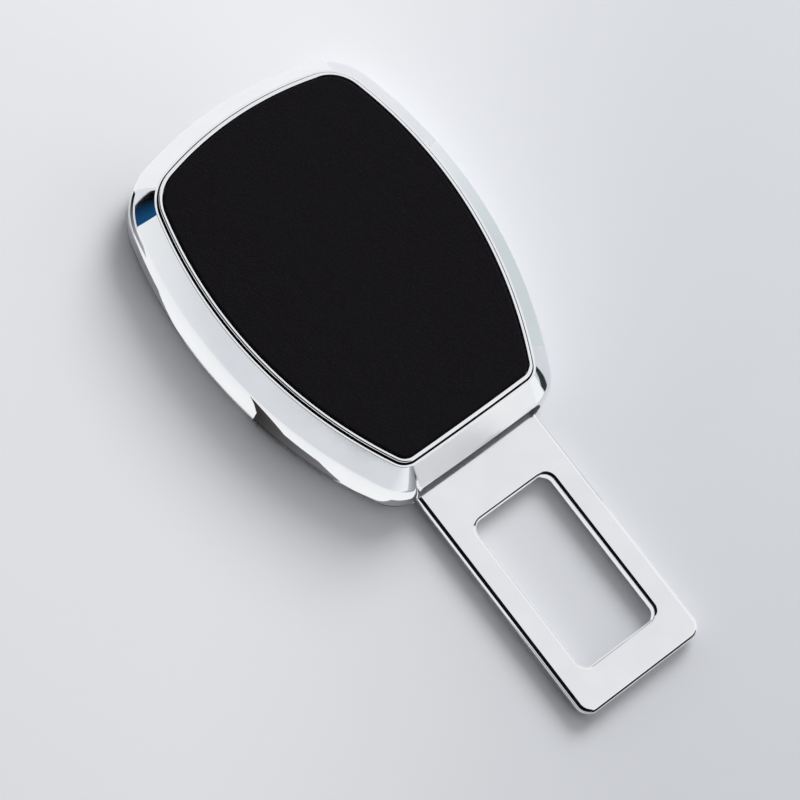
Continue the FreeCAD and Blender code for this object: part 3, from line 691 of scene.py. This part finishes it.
def plate_edge(rounding, inward):
    """Section of a plate's edge; inward is -1 round the outside and 1 round an opening."""
    flat = inward * (rounding + 0.1)
    return rounded([(flat, TONGUE_LOW, 0), (0.0, TONGUE_LOW, rounding),
                    (0.0, TONGUE_HIGH, rounding), (flat, TONGUE_HIGH, 0)])


BLADE_ROUNDING = 0.85
WINDOW_ROUNDING = 0.8
HOLE_RADIUS = 2.25
SINK = 1.35
HOLE_ACROSS = 7.5
HOLE_ALONG = HEAD_MIDDLE - 17.0
bands = [(blade_outline, plate_edge(BLADE_ROUNDING, -1)), (window_outline, plate_edge(WINDOW_ROUNDING, 1))]
hole_section = [Vector((SINK, TONGUE_LOW)), Vector((0.0, TONGUE_LOW + SINK)), Vector((0.0, TONGUE_HIGH))]
for side in (1, -1):
    centre = Vector((side * HOLE_ACROSS, HOLE_ALONG))
    bands.append((arc(centre, HOLE_RADIUS, 0.0, 2 * math.pi, 48), hole_section))
tongue = make_piece("steel_tongue", bands, steel_chrome)
settle(tongue, "tongue_plate")

# %% [markdown]
# ## Screws
# Equal screws are one node tree: a cone and a cylinder are joined, a six-sided socket is cut out,
# and the result is placed on the four points. The sizes are the tree's named inputs.

# %% Node tree for the countersunk screws
screws_tree = bpy.data.node_groups.new("countersunk_screws", "GeometryNodeTree")
screws_tree.interface.new_socket("Places", in_out="INPUT", socket_type="NodeSocketGeometry")
screw_sizes = {
    "Head radius": 2.5, "Shank radius": 1.25, "Length": 7.0, "Socket radius": 1.25, "Socket depth": 1.0}
screw_ids = {}
for label in screw_sizes:
    entry = screws_tree.interface.new_socket(label, in_out="INPUT", socket_type="NodeSocketFloat")
    screw_ids[label] = entry.identifier
finish_socket = screws_tree.interface.new_socket("Finish", in_out="INPUT", socket_type="NodeSocketMaterial")
finish_id = finish_socket.identifier
screws_tree.interface.new_socket("Geometry", in_out="OUTPUT", socket_type="NodeSocketGeometry")
given = add(screws_tree, "NodeGroupInput")
head_depth = add(screws_tree, "ShaderNodeMath", {
    0: given.outputs["Head radius"], 1: given.outputs["Shank radius"]}, operation="SUBTRACT")
head = add(screws_tree, "GeometryNodeMeshCone", {
    "Vertices": 48, "Radius Bottom": given.outputs["Head radius"],
    "Radius Top": given.outputs["Shank radius"], "Depth": head_depth.outputs["Value"]})
shank = add(screws_tree, "GeometryNodeMeshCylinder", {
    "Vertices": 48, "Radius": given.outputs["Shank radius"], "Depth": given.outputs["Length"]})
half_length = add(screws_tree, "ShaderNodeMath", {0: given.outputs["Length"], 1: 0.5}, operation="MULTIPLY")
lift = add(screws_tree, "ShaderNodeCombineXYZ", {"Z": half_length.outputs["Value"]})
raised = add(screws_tree, "GeometryNodeTransform", {
    "Geometry": shank.outputs["Mesh"], "Translation": lift.outputs["Vector"]})
both = add(screws_tree, "GeometryNodeMeshBoolean", {}, operation="UNION", solver="EXACT")
screws_tree.links.new(head.outputs["Mesh"], both.inputs["Mesh 2"])
screws_tree.links.new(raised.outputs["Geometry"], both.inputs["Mesh 2"])
double_depth = add(screws_tree, "ShaderNodeMath", {
    0: given.outputs["Socket depth"], 1: 2.0}, operation="MULTIPLY")
key = add(screws_tree, "GeometryNodeMeshCylinder", {
    "Vertices": 6, "Radius": given.outputs["Socket radius"], "Depth": double_depth.outputs["Value"]})
screw = add(screws_tree, "GeometryNodeMeshBoolean", {"Mesh 1": both.outputs["Mesh"]},
            operation="DIFFERENCE", solver="EXACT")
screws_tree.links.new(key.outputs["Mesh"], screw.inputs["Mesh 2"])
placed = add(screws_tree, "GeometryNodeInstanceOnPoints", {
    "Points": given.outputs["Places"], "Instance": screw.outputs["Mesh"]})
real = add(screws_tree, "GeometryNodeRealizeInstances", {"Geometry": placed.outputs["Instances"]})
coated = add(screws_tree, "GeometryNodeSetMaterial", {
    "Geometry": real.outputs["Geometry"], "Material": given.outputs["Finish"]})
add(screws_tree, "NodeGroupOutput", {"Geometry": coated.outputs["Geometry"]})

# %% [markdown]
# ## The four cover screws
# A mesh of four loose points says where they stand, and the tree puts a screw on each. Their
# heads lie a tenth of a millimetre below the cover's back, so that the head doesn't rock on them.

# %% The four cover screws
HEAD_SINK = 0.1
places = bpy.data.meshes.new("screw_places")
places.from_pydata([(x * MM, y * MM, HEAD_SINK * MM) for x, y in SCREW_PLACES], [], [])
cover_screws = new_object("steel_cover_screws", places)
modifier = cover_screws.modifiers.new("screws", "NODES")
modifier.node_group = screws_tree
for label, value in screw_sizes.items():
    modifier[screw_ids[label]] = value * MM
modifier[finish_id] = zinc_steel
result = baked(cover_screws)
cover_screws.modifiers.clear()
cover_screws.data = result
settle(cover_screws, "cover_screws")

# %% [markdown]
# ## Pieces that stay as the CAD made them
# The plastic block, the board, the tapes and the screws that hold the tongue lie inside the head.
# Their CAD shapes are right as they are, so they only get their materials.

# %% Materials for the inner pieces
inner_pieces = {
    "mouth_block": black_plastic, "inlay_backing": fibre_board, "bezel_tape": tape_film,
    "inlay_tape": tape_film, "tongue_screws": zinc_steel}
for node, material in inner_pieces.items():
    slots = nodes[node].data.materials
    slots.clear()
    slots.append(material)
    print(node, "is", material.name)

# %% [markdown]
# ## Floor
# The object lies on a plain pale floor of matt paper. Its colour is painted a little paler toward the left
# of the picture: painted light that makes up for the shade of the dark card that stands on that side.

# %% Floor
FLOOR_HALF = 3.0
LIGHT_PAINTED_TOWARD = (-0.75, 0.66, 0.0)
PALER_FROM = -0.05
PALER_TO = 0.04
floor_mesh = bpy.data.meshes.new("floor")
floor_corners = [(-1, -1), (1, -1), (1, 1), (-1, 1)]
floor_mesh.from_pydata([(x * FLOOR_HALF, y * FLOOR_HALF, 0.0) for x, y in floor_corners], [], [(0, 1, 2, 3)])
floor = new_object("floor", floor_mesh)
floor_paint = new_material("pale_matt_floor_painted_paler_left")
tree = floor_paint.node_tree
place = add(tree, "ShaderNodeTexCoord")
slope = add(tree, "ShaderNodeVectorMath", {
    0: place.outputs["Object"], 1: LIGHT_PAINTED_TOWARD}, operation="DOT_PRODUCT")
fade = add(tree, "ShaderNodeMapRange", {
    "Value": slope.outputs["Value"], "From Min": PALER_FROM, "From Max": PALER_TO},
    interpolation_type="SMOOTHSTEP")
# Painted light: the paper's colour fades paler toward the left, against the dark card's shade
paper = add(tree, "ShaderNodeMix", {
    "Factor": fade.outputs["Result"], "A": linear("#D8DADE"), "B": linear("#EFF0F3")}, data_type="RGBA")
shader = add(tree, "ShaderNodeBsdfPrincipled", {
    "Base Color": paper.outputs["Result"], "Roughness": 0.9, "Specular IOR Level": 0.1})
finish_material(floor_paint, shader, linear("#E9EAEC"))
floor_mesh.materials.append(floor_paint)

# %% [markdown]
# ## Pale surround
# Chrome shows what is round it, so most of the light is a wide pale surround, a little brighter
# overhead. A white patch low on the right stands for a window. Such a patch is described by its
# heading, its half width and its lower and upper edge, and its edges are soft.

# %% Pale surround
ZENITH_TONE_FROM = 0.8

world = bpy.data.worlds.new("pale_studio")
bpy.context.scene.world = world
world.use_nodes = True
tree = world.node_tree
tree.nodes.clear()
direction = add(tree, "ShaderNodeTexCoord").outputs["Generated"]
rise = add(tree, "ShaderNodeMapRange", {
    "Value": add(tree, "ShaderNodeSeparateXYZ", {"Vector": direction}).outputs["Z"],
    "From Max": ZENITH_TONE_FROM})
shade = add(tree, "ShaderNodeMix", {
    "Factor": rise.outputs["Result"], "A": linear("#DEE0E4"), "B": linear("#EFF0F2")}, data_type="RGBA")


def soft_step(tree, value, low, high):
    """0 below low, 1 above high, smooth between them; low above high turns it round."""
    turned = low > high
    step = add(tree, "ShaderNodeMapRange", {
        "Value": value, "From Min": min(low, high), "From Max": max(low, high),
        "To Min": float(turned), "To Max": float(not turned)}, interpolation_type="SMOOTHSTEP")
    return step.outputs["Result"]


def math_node(tree, operation, first, second):
    """The result of one sum on two values."""
    return add(tree, "ShaderNodeMath", {0: first, 1: second}, operation=operation).outputs["Value"]


def patch(tree, direction, heading, half_width, low, high, softness):
    """Share of a direction that lies in a patch of the sky, in degrees; the heading turns left from +X."""
    height = add(tree, "ShaderNodeSeparateXYZ", {"Vector": direction}).outputs["Z"]
    ahead = (math.cos(math.radians(heading)), math.sin(math.radians(heading)), 0.0)
    across = add(tree, "ShaderNodeVectorMath", {
        0: direction, 1: ahead}, operation="DOT_PRODUCT").outputs["Value"]
    squared = math_node(tree, "SUBTRACT", 1.0, math_node(tree, "MULTIPLY", height, height))
    level = math_node(tree, "SQRT", math_node(tree, "MAXIMUM", squared, 0.0001), 0.0)
    beside = soft_step(tree, math_node(tree, "DIVIDE", across, level),
                       math.cos(math.radians(half_width + softness)),
                       math.cos(math.radians(half_width - softness)))
    above = soft_step(tree, height, math.sin(math.radians(low)), math.sin(math.radians(low + softness)))
    below = soft_step(tree, height, math.sin(math.radians(high)), math.sin(math.radians(high - softness)))
    return math_node(tree, "MULTIPLY", beside, math_node(tree, "MULTIPLY", above, below))


window_light = patch(tree, direction, heading=-20, half_width=80, low=2, high=48, softness=7)
lit = add(tree, "ShaderNodeMix", {
    "Factor": window_light, "A": shade.outputs["Result"], "B": linear("#FFFFFF")}, data_type="RGBA")
surround = add(tree, "ShaderNodeBackground", {"Color": lit.outputs["Result"], "Strength": 1.0})
add(tree, "ShaderNodeOutputWorld", {"Surface": surround.outputs["Background"]})
print("world:", world.name)

# %% [markdown]
# ## Dark card on the left
# A chrome object in a room that is pale all round looks like paper. A half dome of black cloth,
# cut to a patch with soft edges, stands on the left. It gives the metal something dark to show
# and takes some light off that side. The camera itself doesn't see it.

# %% Dark card on the left
CARD_DISTANCE = 1.5
dome = bmesh.new()
bmesh.ops.create_uvsphere(dome, u_segments=48, v_segments=24, radius=CARD_DISTANCE)
bmesh.ops.delete(dome, geom=[vert for vert in dome.verts if vert.co.z < -0.001], context="VERTS")
dome_mesh = bpy.data.meshes.new("dark_card")
dome.to_mesh(dome_mesh)
dome.free()
dark_card = new_object("dark_card", dome_mesh)
dark_paint = new_material("black_cloth_with_soft_edges")
tree = dark_paint.node_tree
place = add(tree, "ShaderNodeTexCoord")
outward = add(tree, "ShaderNodeVectorMath", {
    0: place.outputs["Object"]}, operation="NORMALIZE").outputs["Vector"]
cloth = add(tree, "ShaderNodeBsdfDiffuse", {"Color": linear("#17181B")})
gap = add(tree, "ShaderNodeBsdfTransparent")
covered = patch(tree, outward, heading=191, half_width=77, low=4, high=89.5, softness=5)
edge = add(tree, "ShaderNodeMixShader", {
    "Fac": covered, 1: gap.outputs["BSDF"], 2: cloth.outputs["BSDF"]})
add(tree, "ShaderNodeOutputMaterial", {"Surface": edge.outputs["Shader"]})
dome_mesh.materials.append(dark_paint)
dark_card.visible_camera = False
print("dark card:", len(dome_mesh.polygons), "faces")

# %% [markdown]
# ## Soft panel
# One large soft lamp stands on the upper right of the picture and throws the object's soft shadow
# to the lower left. It isn't seen in reflections, because the chrome would show a hard disk.

# %% Soft panel
PANEL_PLACE = Vector((0.69, 0.33, 0.64))
PANEL_WIDTH = 0.55
PANEL_WATTS = 6.3
panel_data = bpy.data.lights.new("soft_panel", "AREA")
panel_data.shape = "DISK"
panel_data.size = PANEL_WIDTH
panel_data.energy = PANEL_WATTS
panel = new_object("soft_panel", panel_data)
panel.location = PANEL_PLACE
panel.visible_glossy = False
panel.rotation_mode = "QUATERNION"
panel.rotation_quaternion = (-PANEL_PLACE).to_track_quat("-Z", "Y")
print("panel stands", round(PANEL_PLACE.length, 2), "m away")

# %% [markdown]
# ## Glowing cards: painted reflections round the object
# Polished metal looks like metal only where it has something to show, so glowing cards lie round it as
# painted reflections. They glow, are seen in the chrome alone and light nothing. Pale ones lie on the floor
# on each side, beyond the wide end and in the window, and show as painted highlights in the shoulder, the
# bevels and the tongue's edges. A blue-black one stands upright beyond the head's left corner. Dark strips on
# the floor give short painted dark accents, and two thin dark cards, upright at the tongue's tip and in its
# window, draw the fine black lines along those edges as painted reflections. A card has one tone, or fades
# from one to another.

# %% Glowing cards, painted reflections that only the chrome sees
def glowing_reflection_card(name, corners, colours, fade_from, fade_to):
    """A flat glowing card in millimetres, a painted reflection seen in reflections only; its tone changes
    between two points.
    """
    mesh = bpy.data.meshes.new(name)
    mesh.from_pydata([Vector(corner) * MM for corner in corners], [], [tuple(range(len(corners)))])
    piece = new_object(name, mesh)
    material = new_material(name + "_paint")
    tree = material.node_tree
    spot = add(tree, "ShaderNodeTexCoord")
    way = Vector(fade_to) - Vector(fade_from)
    start = way.dot(Vector(fade_from)) / way.length_squared
    along = add(tree, "ShaderNodeVectorMath", {
        0: spot.outputs["Object"], 1: way / way.length_squared / MM}, operation="DOT_PRODUCT")
    share = add(tree, "ShaderNodeMapRange", {
        "Value": along.outputs["Value"], "From Min": start, "From Max": start + 1.0})
    tone = add(tree, "ShaderNodeMix", {
        "Factor": share.outputs["Result"], "A": linear(colours[0]), "B": linear(colours[1])},
        data_type="RGBA")
    # The card glows at strength 1 though it is no lamp: a painted reflection in the chrome
    glow = add(tree, "ShaderNodeEmission", {"Color": tone.outputs["Result"], "Strength": 1.0})
    add(tree, "ShaderNodeOutputMaterial", {"Surface": glow.outputs["Emission"]})
    mesh.materials.append(material)
    piece.visible_camera = False
    piece.visible_diffuse = False
    piece.visible_shadow = False
    print("card:", name)


PAINTED_REFLECTION_CARDS = {
    "pale_card": ([(-13, -56, 0.1), (-12.7, -14.6, 0.1), (-16.6, -12.8, 0.1), (-18.7, -8, 0.1),
                   (-21.8, 0, 0.1), (-24.6, 10, 0.1), (-26.1, 20, 0.1), (-26.3, 28, 0.1), (-26.2, 38, 0.1),
                   (-27, 50, 0.1), (-60, 72, 0.1), (-420, 420, 0.1), (-420, -330, 0.1), (-90, -330, 0.1)],
                  ("#F7F8F9", "#DCDEE2"), (-30, 0, 0), (-170, 0, 0)),
    "window_floor_card": ([(-6.8, -22.2, 0.1), (7.3, -22.2, 0.1), (7.3, -49.4, 0.1), (-6.8, -49.4, 0.1)],
                          ("#F4F5F7", "#F4F5F7"), (-6, 0, 0), (7, 0, 0)),
    "low_right_card": ([(14, -30, 0.1), (120, -30, 0.1), (120, -400, 0.1), (-6, -400, 0.1), (-6, -64, 0.1),
                        (14, -64, 0.1)],
                       ("#F8F9FA", "#F8F9FA"), (14, 0, 0), (70, 0, 0)),
    "low_left_card": ([(-14.5, -36, 0.2), (-36, -50, 0.2), (-36, -120, 0.2), (-8, -120, 0.2), (-8, -66, 0.2),
                       (-14.5, -58, 0.2)], ("#8A8C91", "#C4C6CA"), (-12, 0, 0), (-36, 0, 0)),
    "wide_end_card": ([(-21, 56.5, 0.1), (30, 59, 0.1), (40, 95, 0.1), (-30, 95, 0.1)],
                      ("#F3F4F6", "#F6F7F9"), (-21, 60, 0), (0, 60, 0)),
    "cool_card": ([(29, -8, 0.1), (54, -8, 0.1), (54, 34, 0.1), (29, 34, 0.1)],
                  ("#D0D8DA", "#ECEFF3"), (0, 12, 0), (0, 36, 0)),
    "blue_card": ([(-30, 83, 0), (-53, 69, 0), (-53, 69, 9), (-30, 83, 9)],
                  ("#06080B", "#164670"), (-37, 79, 0), (-49, 72, 0)),
    "corner_strip": ([(-20, 59, 0.2), (-25, 67, 0.2), (-42, 54, 0.2), (-33, 47, 0.2)],
                     ("#101114", "#A6A8AC"), (-25, 62, 0), (-37, 51, 0)),
    "left_strip": ([(-23.5, 12.5, 0.2), (-60, 13.8, 0.2), (-40, 9.5, 0.2), (-27, 6.5, 0.2), (-20.5, -4, 0.2)],
                   ("#353332", "#77767A"), (0, 12, 0), (0, -3, 0)),
    "right_strip": ([(36, -12.5, 0.2), (40, -14.5, 0.2), (33, -30, 0.2), (28.5, -27, 0.2)],
                    ("#14201F", "#2C3A39"), (36, -13, 0), (31, -25, 0)),
    "tip_card": ([(-11, -57.2, 2.7), (13, -57.2, 2.7), (13, -57.2, 4.2), (-11, -57.2, 4.2)],
                 ("#0C0D0F", "#2A2B2E"), (-10, 0, 0), (13, 0, 0)),
    "window_card": ([(-7, -21.9, 3.1), (7, -21.9, 3.1), (7, -21.9, 3.9), (-7, -21.9, 3.9)],
                    ("#1B1C1E", "#1B1C1E"), (-7, 0, 0), (5, 0, 0)),
}
for card_name, card_settings in PAINTED_REFLECTION_CARDS.items():
    glowing_reflection_card(card_name, *card_settings)
